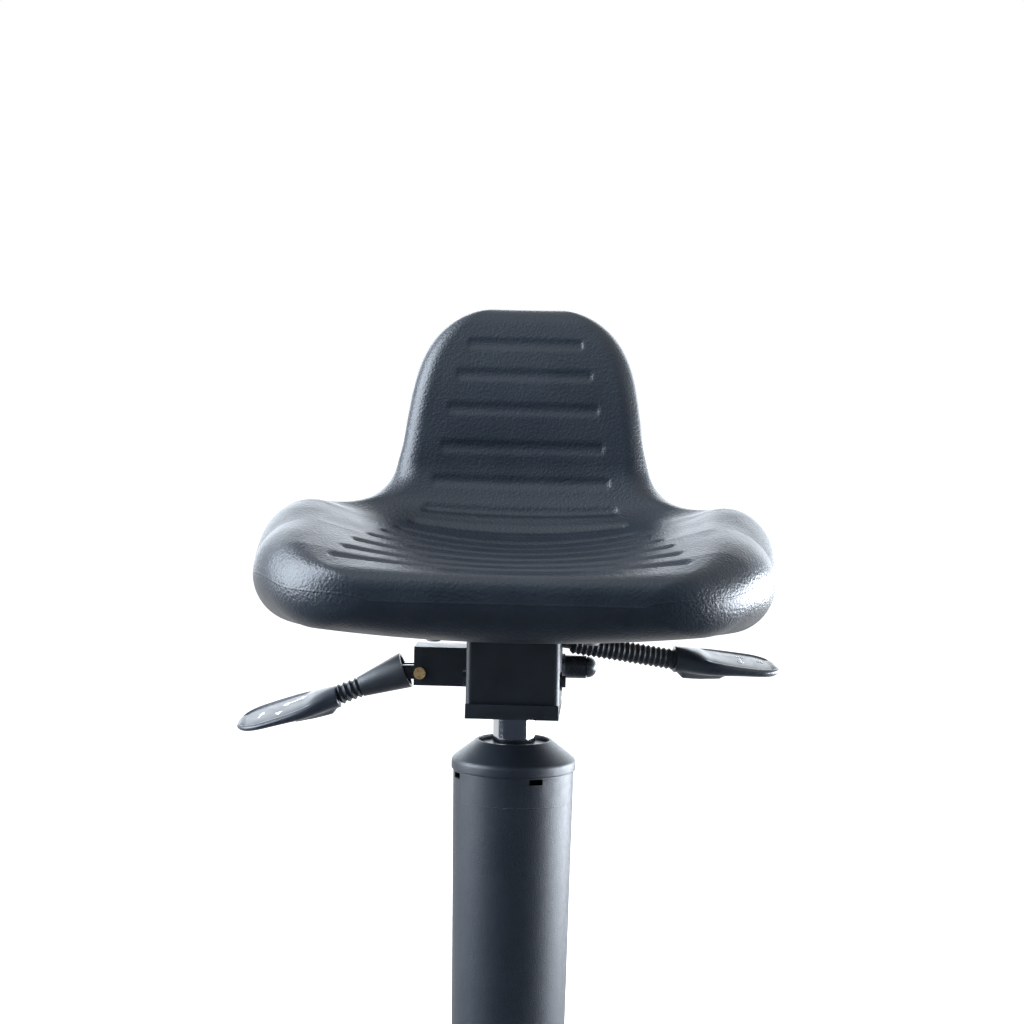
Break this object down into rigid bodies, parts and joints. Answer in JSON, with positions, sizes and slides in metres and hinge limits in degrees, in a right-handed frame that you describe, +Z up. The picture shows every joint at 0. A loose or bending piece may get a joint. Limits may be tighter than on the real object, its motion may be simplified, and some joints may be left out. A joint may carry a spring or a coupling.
{
  "type": "sit-stand stool",
  "caption": "Height-adjustable stool: dished foam seat with a low back on a tilting bracket, gas column and star foot, with a lever for height and one for tilt.",
  "frame": {"origin": "on the column's axis at floor level, at the centre of the foot", "axes": "+Z up the column, +Y to the back of the seat, +X to the side of the height lever"},
  "size_m": [0.5996, 0.5726, 0.7337],
  "materials": {
    "foot_plastic": "satin moulded nylon",
    "glide_plastic": "matt moulded",
    "bush_plastic": "smooth moulded",
    "cover_plastic": "fine textured moulded",
    "lever_plastic": "satin moulded",
    "black_steel": "satin black powder coat",
    "bright_steel": "polished",
    "zinc_steel": "bright zinc plate",
    "brass": "yellow plated",
    "bump_rubber": "matt",
    "board_wood": "pressed, unfinished",
    "seat_foam": "integral-skin foam with a fine leather grain"
  },
  "bodies": {
    "base": {"star_base": "foot_plastic", "base_glides": "glide_plastic", "column_tube": "black_steel", "column_end": "black_steel", "guide_bush": "bush_plastic", "cover_tube": "cover_plastic", "cover_cap": "cover_plastic"},
    "swivel_rod": {"piston_rod": "bright_steel", "piston_head": "bright_steel", "thrust_bearing": "bright_steel", "bump_stop": "bump_rubber", "rod_clip": "zinc_steel"},
    "lift": {"pressure_tube": "bright_steel", "rod_guide": "bush_plastic", "cone_socket": "black_steel", "column_bracket": "black_steel", "tilt_axle": "zinc_steel", "axle_clip": "zinc_steel", "lever_hinge": "zinc_steel", "clamp_box": "black_steel", "box_washer": "zinc_steel", "lever_pin": "brass"},
    "valve": {"release_pin": "bright_steel"},
    "height_lever": {"height_lever_rod": "black_steel", "height_lever_sleeve": "lever_plastic", "height_lever_paddle": "lever_plastic"},
    "clamp_lever": {"clamp_lever_arm": "bright_steel", "clamp_lever_boot": "lever_plastic", "clamp_lever_paddle": "lever_plastic"},
    "clamp": {"clamp_rod": "zinc_steel", "cup_washer": "zinc_steel", "spring_cup": "black_steel", "disc_springs": "zinc_steel", "dome_nut": "black_steel"},
    "seat": {"seat_bracket": "black_steel", "seat_bolts": "zinc_steel", "seat_board": "board_wood", "seat_inserts": "zinc_steel", "seat_foam": "seat_foam"}
  },
  "joints": [
    {"name": "swivel", "type": "hinge", "parent": "base", "child": "swivel_rod", "pos_m": [0, 0, 0.05], "axis": [0, 0, 1], "continuous": true},
    {"name": "height", "type": "slide", "parent": "swivel_rod", "child": "lift", "axis": [0, 0, 1], "range_m": [0, 0.25]},
    {"name": "valve_press", "type": "slide", "parent": "lift", "child": "valve", "axis": [0, 0, -1], "range_m": [0, 0.0022]},
    {"name": "height_lever_lift", "type": "hinge", "parent": "lift", "child": "height_lever", "pos_m": [0.02, 0, 0.516], "axis": [0, -1, 0], "range_deg": [0, 6], "stiffness_Nm_per_rad": 4},
    {"name": "clamp_lever_lift", "type": "hinge", "parent": "lift", "child": "clamp_lever", "pos_m": [-0.06465, 0.026, 0.4906], "axis": [0, 1, 0], "range_deg": [0, 25]},
    {"name": "clamp_release", "type": "slide", "parent": "lift", "child": "clamp", "axis": [1, 0, 0], "range_m": [0, 0.0008]},
    {"name": "seat_tilt", "type": "hinge", "parent": "lift", "child": "seat", "pos_m": [0, -0.03, 0.4935], "axis": [1, 0, 0], "range_deg": [-2, 12]}
  ],
  "couplings": [
    {"joint": "valve_press", "follows": "height_lever_lift", "m_per_rad": 0.020987},
    {"joint": "clamp_release", "follows": "clamp_lever_lift", "m_per_rad": 0.0018316}
  ]
}
